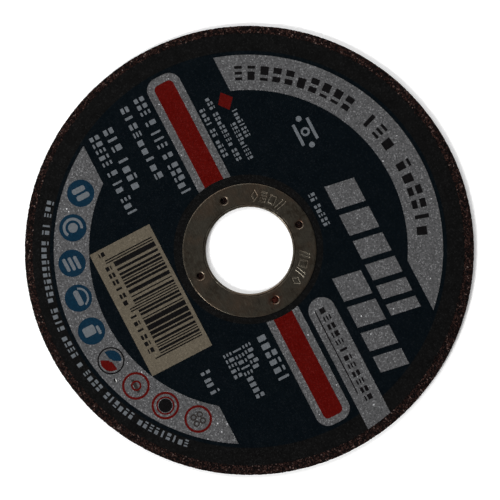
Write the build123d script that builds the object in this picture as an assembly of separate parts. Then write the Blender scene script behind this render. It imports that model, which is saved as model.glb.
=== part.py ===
from build123d import *
from math import cos, floor, radians, sin, sqrt, tan
import os

# Cut-off wheel for an angle grinder: a thin disc of bonded grain with a glass net moulded into
# its back, a printed paper label pressed flush into its front, and a stamped steel ring that
# lines the bore. Lengths are in millimetres and angles in degrees. The wheel lies on its back
# face: Z is the bore's axis, the back face is the plane Z = 0 and the label looks up, with the
# label's reading direction along +X. Nothing moves.

# Bonded grain
outer_diameter = 115.0
wheel_thickness = 1.0

# Steel bore ring
bore_diameter = 22.23
sheet_thickness = 0.25
flange_diameter = 34.3
bend_radius = 0.2
bend_flats = 2
collar_step = 0.1
moulding_gap = 0.04

# Anchor holes, pierced so that each sharp burr bites into the grain
anchor_count = 4
anchor_circle_diameter = 28.5
anchor_hole_diameter = 1.8
burr_wall = 0.2
burr_length = 0.55

# Glass net
yarn_pitch = 8.0
yarn_width = 1.2
yarn_thickness = 0.1
net_inset = 0.7
net_bore_margin = 1.0

# Paper label, set a little to one side as it came from the press and held down by the flange
label_thickness = 0.1
bare_rim_width = 2.2
label_bore_margin = 0.4
label_shift_x = -0.35
label_shift_y = -0.1

# Print: ink films in layers, from the navy field up to the red stripes
ink_thickness = 0.02
outer_border = 4.5
inner_border = 2.0
band_margin = 1.0
band_width = 9.0
upper_band_left_cut = 14.6
upper_band_right_cut = 34.8
lower_band_cut = 25.2

# Level bars on both sides of the bore, silver with a red stripe
bar_height = 9.1
bar_corner_radius = 3.2
stripe_margin = 1.9

# Wide strip to the right of the bore
strip_height = 7.0
strip_gap = 1.4

# Two rows of slanted slabs that get narrower from left to right
slab_slant = 10.0
slab_gap = 1.6
slab_widest = 6.6
slab_taper = 0.7
upper_row_count = 6
upper_row_left = -5.2
upper_row_bottom = 24.6
upper_row_height = 7.8
lower_row_count = 4
lower_row_left = 16.6
lower_row_bottom = 15.5
lower_row_height = 7.5

# Pale panel from the inner border down to the lower band
panel_width = 34.9
panel_gap = 0.4
panel_band_gap = 0.12

# Dark bars on the panel, their widths and gaps counted in modules and taken in turn
bar_module = 0.58
bar_rhythm = (1, 2, 1, 3, 2)
gap_rhythm = (1, 2, 1, 1)
bars_span = 27.2
bars_margin = 1.0
bars_length = 11.7

# Sizes that follow from those above
outer_radius = outer_diameter / 2
bore_radius = bore_diameter / 2
collar_radius = bore_radius + sheet_thickness
flange_radius = flange_diameter / 2
face_z = wheel_thickness
label_back_z = face_z - label_thickness
ring_top_z = face_z + sheet_thickness
grain_bore_radius = collar_radius + moulding_gap
label_radius = outer_radius - bare_rim_width
anchor_radius = anchor_hole_diameter / 2
burr_radius = anchor_radius + burr_wall
burr_tip_z = face_z - burr_length
pit_radius = burr_radius + moulding_gap
anchor_circle_radius = anchor_circle_diameter / 2
label_bore_radius = anchor_circle_radius + pit_radius + label_bore_margin
net_radius = outer_radius - net_inset
net_bore_radius = grain_bore_radius + net_bore_margin
field_outer_radius = label_radius - outer_border
field_inner_radius = flange_radius + inner_border
band_outer_radius = field_outer_radius - band_margin
band_inner_radius = band_outer_radius - band_width
strip_bottom = bar_height / 2 + strip_gap
panel_top = -(field_inner_radius + panel_gap)
overshoot = 1.0
upwards = (Align.CENTER, Align.CENTER, Align.MIN)


def disc_between(outer, inner, low, high):
    """A flat ring between two radii and two heights."""
    return Pos(0, 0, low) * extrude(Circle(outer) - Circle(inner), high - low)


def box_region(left, right, bottom, top):
    """A rectangle given by its sides."""
    return Pos((left + right) / 2, (bottom + top) / 2) * Rectangle(right - left, top - bottom)


def anchor_places():
    """Where the anchor holes stand, on the axes of the wheel."""
    return PolarLocations(anchor_circle_radius, anchor_count)


def net_offsets():
    """Distances of the yarns from the wheel's centre line, none of them grazing the net's edge."""
    per_side = floor((net_radius - yarn_width) / yarn_pitch)
    return [index * yarn_pitch for index in range(-per_side, per_side + 1)]


def half_chord(radius, distance):
    """Half the width of a circle at a distance from its centre, or nothing outside it."""
    return sqrt(max(radius**2 - distance**2, 0))


def yarn_stretches(offset):
    """Start and end of a yarn along its run: one stretch, or two where the bore parts it."""
    end = half_chord(net_radius, abs(offset) + yarn_width / 2)
    start = half_chord(net_bore_radius, max(abs(offset) - yarn_width / 2, 0))
    return [(-end, -start), (start, end)] if start else [(-end, end)]


def yarn_plan():
    """Outline of all yarns that run along X."""
    plan = Sketch()
    for offset in net_offsets():
        for start, end in yarn_stretches(offset):
            plan = plan + box_region(start, end, offset - yarn_width / 2, offset + yarn_width / 2)
    return plan


def glass_net():
    """Open net: weft yarns flush with the back face, warp yarns bonded over them."""
    weft = extrude(yarn_plan(), yarn_thickness)
    warp = Pos(0, 0, yarn_thickness) * Rot(0, 0, 90) * weft
    return Compound(weft.solids() + warp.solids())


def abrasive_disc():
    """Bonded grain, with channels for the net, a seat for the label and pits for the burrs."""
    disc = disc_between(outer_radius, grain_bore_radius, 0, face_z)
    bore_edge = disc.faces().sort_by(Axis.Z)[-1].inner_wires()[0]
    disc = chamfer(bore_edge.edges(), bend_radius)
    label_seat = label_paper()
    weft_channels = extrude(yarn_plan(), yarn_thickness)
    warp_channels = Rot(0, 0, 90) * extrude(yarn_plan(), 2 * yarn_thickness)
    pit = Pos(0, 0, burr_tip_z - moulding_gap) * Cylinder(pit_radius, face_z, align=upwards)
    pits = [place * pit for place in anchor_places()]
    return disc - label_seat - weft_channels - warp_channels - pits


def bend_points():
    """Points round the outside of the bend, from the collar up to the flange."""
    radius = bend_radius + sheet_thickness
    centre_x = bore_radius + radius
    centre_z = ring_top_z - radius
    angles = [radians(180 - 90 * index / bend_flats) for index in range(bend_flats + 1)]
    return [(centre_x + radius * cos(angle), centre_z + radius * sin(angle)) for angle in angles]


def bore_ring():
    """Steel ring drawn from one sheet: a flange on the label, a collar down the bore."""
    section = Polyline(
        (bore_radius, collar_step),
        *bend_points(),
        (flange_radius, ring_top_z),
        (flange_radius, face_z),
        (collar_radius + bend_radius, face_z),
        (collar_radius, face_z - bend_radius),
        (collar_radius, collar_step),
        close=True,
    )
    ring = revolve(make_face(Plane.XZ * section), Axis.Z)
    burr = Pos(0, 0, burr_tip_z) * Cone(anchor_radius, burr_radius, burr_length, align=upwards)
    hole = Cylinder(anchor_radius, 3 * ring_top_z)
    for place in anchor_places():
        ring = ring + place * burr - place * hole
    return ring


def on_label(sketch):
    """A print outline moved to where the label came to lie."""
    return Pos(label_shift_x, label_shift_y) * sketch


def label_paper():
    """Paper label, pressed flush into the grain."""
    paper = on_label(Circle(label_radius)) - Circle(label_bore_radius)
    return Pos(0, 0, label_back_z) * extrude(paper, label_thickness)


def level_bar(inset):
    """Bar from the bore to the band's outer circle on the left, drawn in by an inset."""
    radius = band_outer_radius - inset
    half_height = bar_height / 2 - inset
    bar = Circle(radius) & box_region(-radius, 0, -half_height, half_height)
    outer_corners = bar.vertices().group_by(Axis.X)[0]
    return fillet(outer_corners, bar_corner_radius - inset) - Circle(field_inner_radius)


def both_sides(sketch):
    """A print outline and the same turned half round the wheel."""
    return sketch + Rot(0, 0, 180) * sketch


def band(left_cut, right_cut):
    """Arched band over the bore with level ends, one height for each side."""
    ring = Circle(band_outer_radius) - Circle(band_inner_radius)
    reach = band_outer_radius + overshoot
    return ring - box_region(-reach, 0, -reach, left_cut) - box_region(0, reach, -reach, right_cut)


def wide_strip():
    """Strip that starts round beside the bore and runs out over the label's edge."""
    middle = strip_bottom + strip_height / 2
    start = field_inner_radius + strip_height / 2
    bar = box_region(start, outer_radius, strip_bottom, strip_bottom + strip_height)
    return (bar + Pos(start, middle) * Circle(strip_height / 2)) & Circle(label_radius)


def slab_row(count, left, bottom, height):
    """Row of slanted slabs, each narrower than the one before it."""
    lean = height * tan(radians(slab_slant))
    row = Sketch()
    foot = left
    for index in range(count):
        width = slab_widest - index * slab_taper
        slab = make_face(Polyline((foot, bottom), (foot + width, bottom),
                                  (foot + width + lean, bottom + height),
                                  (foot + lean, bottom + height), close=True))
        row = row + slab
        foot = foot + width + slab_gap
    return row


def slab_rows():
    """Both rows of slabs, the lower one further to the right."""
    upper = slab_row(upper_row_count, upper_row_left, upper_row_bottom, upper_row_height)
    lower = slab_row(lower_row_count, lower_row_left, lower_row_bottom, lower_row_height)
    return upper + lower


def film(sketch, layer):
    """An ink film of a print outline. Layer 0 lies on the paper and each next one on the last."""
    height = face_z + layer * ink_thickness
    return Pos(0, 0, height) * extrude(on_label(sketch), ink_thickness)


def navy_print():
    """Round field between the inner and the outer black border, open where the strip crosses."""
    return film(Circle(field_outer_radius) - Circle(field_inner_radius) - wide_strip(), 0)


def silver_print():
    """The strip on the bare paper, and the bands, bars and slabs on the navy field."""
    upper_band = band(upper_band_left_cut, upper_band_right_cut)
    lower_band = Rot(0, 0, 180) * band(lower_band_cut, lower_band_cut)
    on_navy = upper_band + lower_band + both_sides(level_bar(0)) + slab_rows()
    return film(wide_strip(), 0) + film(on_navy, 1)


def red_print():
    """Stripes along the two level bars."""
    return film(both_sides(level_bar(stripe_margin)), 2)


def cream_print():
    """Plain panel under the bore, whose lower corners almost meet the lower band."""
    half_width = panel_width / 2
    bottom = -half_chord(band_inner_radius - panel_band_gap, half_width)
    return film(box_region(-half_width, half_width, bottom, panel_top), 1)


def black_print():
    """Upright bars on the panel."""
    top = panel_top - bars_margin
    bars = Sketch()
    left = -bars_span / 2
    index = 0
    while left < bars_span / 2:
        right = left + bar_rhythm[index % len(bar_rhythm)] * bar_module
        bars = bars + box_region(left, right, top - bars_length, top)
        left = right + gap_rhythm[index % len(gap_rhythm)] * bar_module
        index = index + 1
    return film(bars, 2)


def main():
    os.makedirs("parts", exist_ok=True)
    pieces = {
        "abrasive_disc": abrasive_disc(),
        "glass_net": glass_net(),
        "bore_ring": bore_ring(),
        "label_paper": label_paper(),
        "navy_print": navy_print(),
        "silver_print": silver_print(),
        "red_print": red_print(),
        "cream_print": cream_print(),
        "black_print": black_print(),
    }
    for name, piece in pieces.items():
        export_step(piece, f"parts/{name}.step")


main()
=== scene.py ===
import math

import bmesh
import bpy
import numpy as np
from bpy.props import FloatProperty, FloatVectorProperty, IntProperty, PointerProperty
from bpy.types import Operator, Panel, PropertyGroup
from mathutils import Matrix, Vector


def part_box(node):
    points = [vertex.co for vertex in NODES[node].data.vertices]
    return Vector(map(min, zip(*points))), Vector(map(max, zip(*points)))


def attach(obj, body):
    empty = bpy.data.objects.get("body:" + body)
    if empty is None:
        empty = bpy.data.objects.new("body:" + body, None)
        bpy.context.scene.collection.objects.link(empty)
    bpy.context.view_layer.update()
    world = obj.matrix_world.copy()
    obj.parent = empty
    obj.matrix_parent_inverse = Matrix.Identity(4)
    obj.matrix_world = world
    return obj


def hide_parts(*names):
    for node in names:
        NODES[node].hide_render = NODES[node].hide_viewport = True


bl_info = {
    "name": "Cut-off wheel",
    "version": (1, 0, 0),
    "blender": (4, 5, 0),
    "location": "3D View > Sidebar > Wheel",
    "description": "Dresses the thin grinding wheel: grain, net, steel ring, printed label and stage",
    "category": "Object",
}

# The wheel lies on its back face, with the bore's axis along Z and the label's reading direction
# along +X. Lengths are in metres. The printed marks are laid out in millimetres from the label's
# centre, with angles in degrees from +X.

MM = 0.001
FULL_TURN = 2 * math.pi
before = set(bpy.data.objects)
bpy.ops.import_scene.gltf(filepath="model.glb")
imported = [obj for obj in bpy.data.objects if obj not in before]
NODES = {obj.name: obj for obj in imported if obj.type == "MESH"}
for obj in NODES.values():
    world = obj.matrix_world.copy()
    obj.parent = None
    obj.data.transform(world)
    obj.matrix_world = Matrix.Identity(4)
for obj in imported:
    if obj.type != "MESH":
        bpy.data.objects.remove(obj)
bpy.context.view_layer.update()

# Sizes and places read from the frame. The net's box ends at a yarn's corner, just inside its circle
OUTER_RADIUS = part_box("abrasive_disc")[1].x
FACE_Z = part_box("abrasive_disc")[1].z
FLANGE_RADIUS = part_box("bore_ring")[1].x
RING_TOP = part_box("bore_ring")[1].z
NET_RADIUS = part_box("glass_net")[1].x * 1.0001
PAPER_LOW, PAPER_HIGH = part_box("label_paper")
PAPER_RADIUS = (PAPER_HIGH.x - PAPER_LOW.x) / 2
PAPER_CENTRE = np.array(((PAPER_HIGH.x + PAPER_LOW.x) / 2, (PAPER_HIGH.y + PAPER_LOW.y) / 2))
PAPER_TOP = PAPER_HIGH.z
NAVY_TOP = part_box("navy_print")[1].z
SILVER_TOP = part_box("silver_print")[1].z
CREAM_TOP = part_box("cream_print")[1].z

# Crust of grain: rows of points over the face, down the rim and in under the back
CRUST_COLUMNS = 2400
FACE_ROWS = 22
WALL_ROWS = 9
BACK_RADII = (57.3 * MM, 57.17 * MM)

# Glass net
NET_BORE_RADIUS = 12.405 * MM
STRANDS = 4
YARN_HALF_THICKNESS = 0.05 * MM

# Steel ring
RING_COLUMNS = 1030
BORE_RADIUS = 11.115 * MM
SHEET = 0.25 * MM
BEND_RADIUS = 0.45 * MM
COLLAR_RADIUS = BORE_RADIUS + SHEET
COLLAR_END = 0.1 * MM
ANCHOR_CIRCLE = 14.25 * MM
ANCHOR_RADIUS = 0.9 * MM
PUNCH_LINE = 11.78 * MM


# Settings

def tone(red, green, blue):
    """A screen colour of 0 to 255 a channel as the linear colour that a shader takes."""
    return tuple(((v / 255 + 0.055) / 1.055) ** 2.4 for v in (red, green, blue))


def shade(colour, factor):
    """A colour made darker or paler, up to white."""
    return tuple(min(v * factor, 1) for v in colour)


def length_setting(name, description, default):
    """A setting that is a length in metres."""
    return FloatProperty(name=name, description=description, default=default,
                         subtype="DISTANCE", unit="LENGTH", precision=6)


def colour_setting(name, description, default):
    """A setting that is a colour."""
    return FloatVectorProperty(name=name, description=description, default=default,
                               subtype="COLOR", size=3)


class GrainSettings(PropertyGroup):
    """The bonded grain at the rim, in the pits and on the back."""
    grain_size: length_setting("Grain size", "Width of one grain", 0.27 * MM)
    rim_relief: length_setting("Rim relief", "How deep the sawn-off rim is pitted", 0.24 * MM)
    face_relief: length_setting("Face relief", "How far the grains stand on the face", 0.1 * MM)
    resin: colour_setting("Resin", "Dark resin between the grains", tone(5, 2, 2))
    grain: colour_setting("Grain", "Red-brown body of the grain", tone(35, 20, 17))
    # Pale grain: partly paler broken grain, partly a painted glint
    spark: colour_setting("Pale grain", "Fresh faces of broken grains", tone(106, 91, 86))
    seed: IntProperty(name="Seed", description="Which scatter of grains is drawn", default=7)


class NetSettings(PropertyGroup):
    """The woven glass net in the back."""
    pitch: length_setting("Pitch", "Distance from one yarn to the next", 8 * MM)
    width: length_setting("Yarn width", "Width of one flat yarn", 1.2 * MM)
    yarn: colour_setting("Yarn", "Glass yarn soaked in resin", tone(92, 78, 62))


class RingSettings(PropertyGroup):
    """The stamped steel ring in the bore."""
    steel: colour_setting("Steel", "Dull plate of the ring", tone(91, 86, 76))
    tarnish: colour_setting("Tarnish", "Brown film on the plate", tone(53, 46, 38))
    rust: colour_setting("Rust", "Rust round the anchor holes", tone(82, 40, 24))
    stamp_depth: length_setting("Stamp depth", "Depth of the struck marks", 0.1 * MM)


class PrintSettings(PropertyGroup):
    """The inks on the label."""
    paper: colour_setting("Paper", "Black paper of the label", tone(13, 13, 13))
    navy: colour_setting("Navy", "Field of the label", tone(5, 11, 15))
    silver: colour_setting("Silver", "Bands, bars, slabs and strip", tone(77, 77, 78))
    red: colour_setting("Red", "Stripes and ring badges", tone(74, 6, 2))
    blue: colour_setting("Blue", "Round badges", tone(7, 35, 52))
    cream: colour_setting("Cream", "Panel under the bore", tone(88, 81, 69))
    pale: colour_setting("Pale marks", "Small marks on the dark fields", tone(92, 96, 100))
    # The dark marks also carry the nick's dark slit, a painted shadow
    dark: colour_setting("Dark marks", "Small marks on the pale fields", tone(11, 10, 11))
    grey: colour_setting("Grey marks", "Small marks in the ring badges", tone(44, 40, 38))
    # The torn edge is partly bared paper and partly a painted glint
    torn: colour_setting("Torn edge", "Bared paper at the nick in the lower band", tone(225, 225, 222))
    film: length_setting("Film", "Thickness of the printed marks", 0.006 * MM)
    seed: IntProperty(name="Seed", description="Which order the small marks come in", default=11)


class StageSettings(PropertyGroup):
    """Floor, light and camera."""
    floor: colour_setting("Floor", "Pale floor", (0.88, 0.88, 0.88))
    roll: FloatProperty(name="Roll", description="Turn of the camera about its line of sight",
                        default=math.radians(62.5), subtype="ANGLE", unit="ROTATION")
    view_width: length_setting("View width", "What the picture spans at the wheel", 127.9 * MM)
    distance: length_setting("Distance", "Height of the camera over the wheel", 1.2)


# Repeatable scatter for the grains

CELL_OFFSET = 100000
CELL_PRIMES = (73856093, 19349663, 83492791)
HASH_STEPS = ((15, 2246822519), (13, 3266489917))


def scatter(cells, seed, count):
    """Random numbers between 0 and 1 that depend only on the cell, count of them for each cell."""
    mask = np.uint64(0xFFFFFFFF)
    mixed = np.uint64(seed * 2654435 + 12345)
    for axis, prime in enumerate(CELL_PRIMES):
        mixed = mixed ^ cells[:, axis].astype(np.uint64) * np.uint64(prime)
    mixed = mixed & mask
    columns = []
    for _ in range(count):
        for shift, factor in HASH_STEPS:
            mixed = ((mixed ^ (mixed >> np.uint64(shift))) * np.uint64(factor)) & mask
        columns.append((mixed ^ (mixed >> np.uint64(16))).astype(float) / 2.0 ** 32)
    return np.stack(columns, axis=1)


def grain_heights(points, size, seed):
    """Height between 0 and 1 of packed chips with tilted faces at each point."""
    lowest, spread, steepness, dome = 0.15, 0.7, 1.6, 0.35
    cells = np.floor(points / size).astype(np.int64) + CELL_OFFSET
    nearest = np.full(len(points), np.inf)
    height = np.zeros(len(points))
    for step in np.ndindex(3, 3, 3):
        cell = cells + (np.array(step) - 1)
        random = scatter(cell, seed, 7)
        centre = (cell - CELL_OFFSET + random[:, :3]) * size
        offset = points - centre
        distance = np.linalg.norm(offset, axis=1)
        tilt = (random[:, 4:7] - 0.5) * steepness
        level = lowest + spread * random[:, 3] + (offset * tilt).sum(axis=1) / size
        level = level - dome * distance / size
        closer = distance < nearest
        nearest = np.where(closer, distance, nearest)
        height = np.where(closer, level, height)
    return np.clip(height, 0, 1)


def soft_noise(points, size, seed):
    """Smooth noise between 0 and 1 with patches of the given size."""
    scaled = points / size
    base = np.floor(scaled).astype(np.int64)
    part = eased(scaled - base)
    total = np.zeros(len(points))
    for step in np.ndindex(2, 2, 2):
        corner = np.array(step)
        weight = np.prod(np.where(corner == 1, part, 1 - part), axis=1)
        total += weight * scatter(base + corner + CELL_OFFSET, seed, 1)[:, 0]
    return total


def eased(part):
    """A share between 0 and 1 that starts and ends gently."""
    return part * part * (3 - 2 * part)


# Meshes

def add_object(name, data):
    """A new object in the scene."""
    item = bpy.data.objects.new(name, data)
    bpy.context.scene.collection.objects.link(item)
    return item


def new_piece(name, vertices, faces, material, smooth=False):
    """A mesh object that rides on the wheel, from arrays of points in metres."""
    mesh = bpy.data.meshes.new(name)
    mesh.from_pydata([tuple(v) for v in vertices], [], [tuple(f) for f in faces])
    mesh.validate()
    if smooth:
        mesh.shade_smooth()
    else:
        mesh.shade_flat()
    mesh.materials.append(material)
    piece = add_object(name, mesh)
    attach(piece, "root")
    return piece


def round_points(radius, turn, height):
    """Points from arrays of radius, angle and height round the axis."""
    return np.stack([radius * np.cos(turn), radius * np.sin(turn), height], axis=-1).reshape(-1, 3)


def grid_faces(rows, columns, start=0, looped=False):
    """Quads of a grid of closed rows. A looped grid also joins its last row to its first."""
    faces = []
    for row in range(rows if looped else rows - 1):
        here = start + row * columns
        there = start + (row + 1) % rows * columns
        for column in range(columns):
            following = (column + 1) % columns
            faces.append((here + column, here + following, there + following, there + column))
    return faces


def tube_faces(rows, columns, start):
    """Faces of a grid of closed rows whose first and last rows are capped."""
    end = start + (rows - 1) * columns
    caps = [tuple(range(start, start + columns))[::-1], tuple(range(end, end + columns))]
    return grid_faces(rows, columns, start) + caps


def flipped(faces):
    """The same faces, looking the other way."""
    return [face[::-1] for face in faces]


def by_angle(points, loop):
    """A loop's point numbers in order of their angle and closed, and those angles."""
    turn = np.arctan2(points[loop, 1], points[loop, 0]) % FULL_TURN
    order = np.argsort(turn)
    numbers, turn = loop[order], turn[order]
    return np.append(numbers, numbers[0]).tolist(), np.append(turn, turn[0] + FULL_TURN)


def zip_loops(points, outer, inner):
    """Triangles that face down between two loops round the axis, given as point numbers."""
    outer, outer_turn = by_angle(points, outer)
    inner, inner_turn = by_angle(points, inner)
    outer_end, inner_end = len(outer) - 1, len(inner) - 1
    faces, i, j = [], 0, 0
    while i < outer_end or j < inner_end:
        if j == inner_end or (i < outer_end and outer_turn[i + 1] <= inner_turn[j + 1]):
            faces.append((inner[j], outer[i + 1], outer[i]))
            i += 1
        else:
            faces.append((inner[j], inner[j + 1], outer[i]))
            j += 1
    return faces


def polar(radius, turn, x=0.0, y=0.0):
    """The point at a radius and an angle from a centre."""
    return x + radius * math.cos(turn), y + radius * math.sin(turn)


def anchor_centre(index, height=0.0):
    """Centre of one of the four anchor holes, the first on +X."""
    return (*polar(ANCHOR_CIRCLE, index * math.pi / 2), height)


# Grain body

def crust_grid(settings):
    """Radius, angle and height of the crust before it is roughened, one row after the other."""
    inner, outer, top, foot = 54.7 * MM, 57.42 * MM, 0.97 * MM, 0.03 * MM
    jitter, row_step, column_step = 0.3, 0.12 * MM, FULL_TURN / CRUST_COLUMNS
    radius = np.concatenate([np.linspace(inner, outer, FACE_ROWS),
                             np.full(WALL_ROWS, OUTER_RADIUS), BACK_RADII])
    height = np.concatenate([np.full(FACE_ROWS, FACE_Z), np.linspace(top, foot, WALL_ROWS),
                             np.zeros(len(BACK_RADII))])
    shape = (len(radius), CRUST_COLUMNS)
    random = np.random.default_rng(settings.seed)
    turn = (np.arange(CRUST_COLUMNS) + random.uniform(-jitter, jitter, shape)) * column_step
    radius = radius[:, None] + np.zeros(shape)
    between = (FACE_ROWS - 2, CRUST_COLUMNS)
    radius[1:FACE_ROWS - 1] += random.uniform(-jitter, jitter, between) * row_step
    return radius, turn, height[:, None] + np.zeros(shape)


def crust_relief(points, settings):
    """Three reliefs between 0 and 1 at each point: chips, slow wander and upright notches."""
    size, seed = settings.grain_size, settings.seed
    chip = 0.6 * grain_heights(points, size * 1.5, seed)
    chip = chip + 0.4 * grain_heights(points, size * 0.9, seed + 1)
    wander = soft_noise(points, 2.2 * MM, seed + 2)
    level = points * (1, 1, 0)
    notch = 0.65 * soft_noise(level, 0.42 * MM, seed + 3)
    return chip, wander, notch + 0.35 * soft_noise(level, 1.1 * MM, seed + 4)


def crust_face(inside, chip, wander, relief):
    """Height of the face: grains level with the label, some lapping over its edge, the rest under it."""
    lap_reach, buried, proud = 0.45 * MM, 0.09 * MM, 0.012 * MM
    height = FACE_Z + relief * (chip - 0.62) * 1.5
    laps = chip + 0.35 * (wander - 0.5) > 0.42 + 0.5 * np.clip(inside / lap_reach, 0, 1.4)
    height = np.where((inside > 0) & ~laps, FACE_Z - buried, height)
    return np.where((inside > 0) & laps, np.maximum(height, FACE_Z + proud), height)


def grain_crust(settings):
    """Pitted crust of grain: the face outside the label, the rim and the turn to the back.

    Gives its points and faces, and the point numbers of its first and its last row.
    """
    worn_start, worn_reach, worn_drop = 57.1 * MM, 0.3 * MM, 0.1 * MM
    end_inset, clearance = 0.03 * MM, 0.002 * MM
    radius, turn, height = crust_grid(settings)
    rows = len(radius)
    points = round_points(radius, turn, height)
    chip, wander, notch = (relief.reshape(radius.shape) for relief in crust_relief(points, settings))
    # How far each point lies inside the label's edge
    inside = PAPER_RADIUS - np.linalg.norm(points[:, :2] - PAPER_CENTRE, axis=1).reshape(radius.shape)
    # Towards the rim the face drops a little, and the rim itself is pitted
    face = slice(0, FACE_ROWS)
    drop = np.clip((radius[face] - worn_start) / worn_reach, 0, 1) ** 2 * worn_drop
    height[face] = crust_face(inside[face], chip[face], wander[face], settings.face_relief) - drop
    wall = slice(FACE_ROWS, FACE_ROWS + WALL_ROWS)
    pit = np.clip(0.7 - chip[wall], 0, 1) ** 2 + 1.6 * np.clip(notch[wall] - 0.52, 0, 1)
    radius[wall] = OUTER_RADIUS - settings.rim_relief * pit
    radius[[FACE_ROWS, FACE_ROWS + WALL_ROWS - 1]] -= end_inset
    radius = np.minimum(radius, OUTER_RADIUS - clearance)
    points, faces = round_points(radius, turn, height), flipped(grid_faces(rows, CRUST_COLUMNS))
    first_row = np.arange(CRUST_COLUMNS)
    return points, faces, first_row, first_row + (rows - 1) * CRUST_COLUMNS


def pit_mounds(settings, start):
    """Grain that has welled up into the ring's four anchor holes, from a first point number."""
    columns, rings = 40, 9
    tops = (1.04 * MM, 0.93 * MM, 0.62 * MM, 0.6 * MM)
    foot, crown, relief = 0.5 * MM, 0.25 * MM, 0.26 * MM
    turn = np.linspace(0, FULL_TURN, columns, endpoint=False)
    radius = np.linspace(0.02, 0.98, rings) * ANCHOR_RADIUS
    radius, turn = (grid.ravel() for grid in np.meshgrid(radius, turn, indexing="ij"))
    all_points, all_faces = [], []
    for index, top in enumerate(tops):
        points = round_points(radius, turn, np.zeros(len(radius))) + anchor_centre(index)
        chip = grain_heights(points + (0, 0, 1), settings.grain_size * 1.1, settings.seed + 5)
        points[:, 2] = top - crown * (radius / ANCHOR_RADIUS) ** 2 + relief * (chip - 0.5)
        skirt = points[-columns:] * (1, 1, 0) + (0, 0, foot)
        all_points += [points, skirt]
        all_faces += flipped(tube_faces(rings + 1, columns, start))
        start += (rings + 1) * columns
    return np.concatenate(all_points), all_faces


def cad_mesh_without_rim():
    """Points and faces of the CAD disc, less its plain rim and the face round the label.

    Also gives the point numbers of its open edges at the label's seat and at the back.
    """
    weld, near, inner_reach = 1e-7, 0.01 * MM, 40 * MM
    back_reach, back_z, seam = 57.2 * MM, 0.05 * MM, 57.12 * MM
    work = bmesh.new()
    work.from_mesh(NODES["abrasive_disc"].data)
    bmesh.ops.remove_doubles(work, verts=work.verts, dist=weld)
    doomed = []
    for face in work.faces:
        heights = [v.co.z for v in face.verts]
        wall = abs(face.normal.z) < 0.5 and max(heights) > FACE_Z - near
        rim_top = face.normal.z > 0.5 and min(heights) > FACE_Z - near
        if (wall or rim_top) and min(v.co.xy.length for v in face.verts) > inner_reach:
            doomed.append(face)
    bmesh.ops.delete(work, geom=doomed, context="FACES")
    for vertex in work.verts:
        reach = vertex.co.xy.length
        if reach > back_reach and vertex.co.z < back_z:
            vertex.co.xy *= seam / reach
    work.verts.ensure_lookup_table()
    work.verts.index_update()
    points = np.array([v.co for v in work.verts])
    faces = [tuple(v.index for v in face.verts) for face in work.faces]
    open_edges = [edge for edge in work.edges if edge.is_boundary]
    open_ends = np.array(sorted({v.index for edge in open_edges for v in edge.verts}))
    work.free()
    at_seat = points[open_ends, 2] > FACE_Z / 2
    return points, faces, open_ends[at_seat], open_ends[~at_seat]


# Glass net

def yarn_profile(width):
    """Section of a flat yarn of several strands: places across it and heights, bottom then top."""
    steps = STRANDS * 2 + 1
    across = np.linspace(-0.5, 0.5, steps) * width
    ripple = np.abs(np.sin(np.linspace(0, STRANDS * math.pi, steps)))
    crown = np.sqrt(np.clip(1 - (2 * across / width) ** 2, 0, 1))
    thick = YARN_HALF_THICKNESS * crown * (0.72 + 0.28 * ripple)
    return np.concatenate([across, across[-2:0:-1]]), np.concatenate([-thick, thick[-2:0:-1]])


def chord(radius, distance):
    """Half the width of a circle at a distance from its centre, or nothing outside it."""
    return math.sqrt(max(radius ** 2 - distance ** 2, 0))


def yarn_runs(offset, width):
    """Where one yarn starts and ends along its run: in one stretch, or two past the bore."""
    end_clearance = 0.05 * MM
    end = chord(NET_RADIUS, abs(offset) + width / 2) - end_clearance
    start = chord(NET_BORE_RADIUS, max(abs(offset) - width / 2, 0))
    return [(-end, -start), (start, end)] if start > 0 else [(-end, end)]


def yarn_points(low, high, index, direction, settings):
    """Points of one yarn on its way over and under the yarns that cross it, section by section."""
    step, low_z, lift = 0.5 * MM, 0.052 * MM, 0.094 * MM
    across, up = yarn_profile(settings.width)
    along = np.linspace(low, high, max(int((high - low) / step), 3))
    crossing = np.rint(along / settings.pitch).astype(int)
    gap = np.abs(along - crossing * settings.pitch)
    behind = (crossing + index + direction) % 2 == 1
    rise = np.where(behind, np.clip(1.5 - gap / MM, 0, 1), 0)
    level = low_z + lift * eased(rise)
    spread = 1 + 0.06 * np.sin(along / MM * 1.7 + index * 2.1 + direction)
    sway = 0.05 * MM * np.sin(along / MM * 0.31 + index * 1.3 + 2 * direction)
    side = index * settings.pitch + sway[:, None] + across * spread[:, None]
    height = np.maximum(level[:, None] + up, 0.001 * MM)
    length = np.repeat(along[:, None], len(across), axis=1)
    plan = (length, side) if direction == 0 else (side, length)
    return np.stack([*plan, height], axis=2).reshape(-1, 3)


def woven_net(settings):
    """Points and faces of all yarns, first those along X and then those along Y."""
    per_side = int((NET_RADIUS - settings.width) // settings.pitch)
    around = len(yarn_profile(settings.width)[0])
    all_points, all_faces, start = [], [], 0
    for direction in (0, 1):
        for index in range(-per_side, per_side + 1):
            for low, high in yarn_runs(index * settings.pitch, settings.width):
                points = yarn_points(low, high, index, direction, settings)
                faces = tube_faces(len(points) // around, around, start)
                all_faces += faces if direction == 0 else flipped(faces)
                all_points.append(points)
                start += len(points)
    return np.concatenate(all_points), all_faces


# Steel ring

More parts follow.
